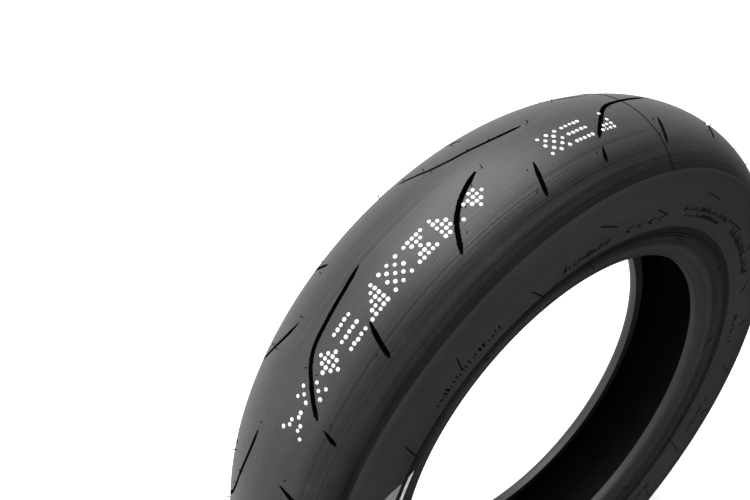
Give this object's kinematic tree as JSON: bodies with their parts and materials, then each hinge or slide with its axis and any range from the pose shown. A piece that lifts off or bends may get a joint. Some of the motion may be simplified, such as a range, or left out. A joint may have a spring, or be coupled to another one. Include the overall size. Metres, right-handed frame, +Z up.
{
  "type": "motorcycle tyre",
  "caption": "Tubeless radial tyre for a small 12 inch wheel, with a round grooved crown, moulded sidewalls, wire beads, plies, belts and liner as separate pieces.",
  "frame": {"origin": "the wheel's centre, on the spin axis and midway between the beads", "axes": "+Y is the spin axis, +Z is up; the labelled side faces -Y"},
  "size_m": [0.495, 0.1062, 0.495],
  "materials": {
    "tread_rubber": "satin black tread rubber with fine streaks round the tyre",
    "side_rubber": "matt black moulded sidewall rubber",
    "bead_rubber": "smooth hard black bead rubber",
    "liner_rubber": "dull black inner liner with a fine bladder pattern",
    "inner_rubber": "unseen filler and cushion rubber",
    "cord_fabric": "rubbered textile cord",
    "belt_cord": "rubbered aramid cord",
    "bead_wire": "bronzed steel wire",
    "label_white": "blank white paper label",
    "label_grey": "blank grey-beige paper sticker"
  },
  "bodies": {
    "root": {"inner_liner": "liner_rubber", "carcass_ply_inner": "cord_fabric", "carcass_ply_outer": "cord_fabric", "bead_core_left": "bead_wire", "bead_core_right": "bead_wire", "bead_cover_left": "cord_fabric", "bead_cover_right": "cord_fabric", "bead_filler_left": "inner_rubber", "bead_filler_right": "inner_rubber", "chafer_left": "cord_fabric", "chafer_right": "cord_fabric", "rim_strip_left": "bead_rubber", "rim_strip_right": "bead_rubber", "sidewall_left": "side_rubber", "sidewall_right": "side_rubber", "belt_inner": "belt_cord", "belt_outer": "belt_cord", "cap_ply": "cord_fabric", "belt_edge_strip_left": "inner_rubber", "belt_edge_strip_right": "inner_rubber", "tread_base": "inner_rubber", "tread_cap": "tread_rubber", "tread_wing_left": "tread_rubber", "tread_wing_right": "tread_rubber", "spew_hairs": "tread_rubber", "bead_label": "label_white", "side_sticker": "label_grey"}
  },
  "joints": []
}
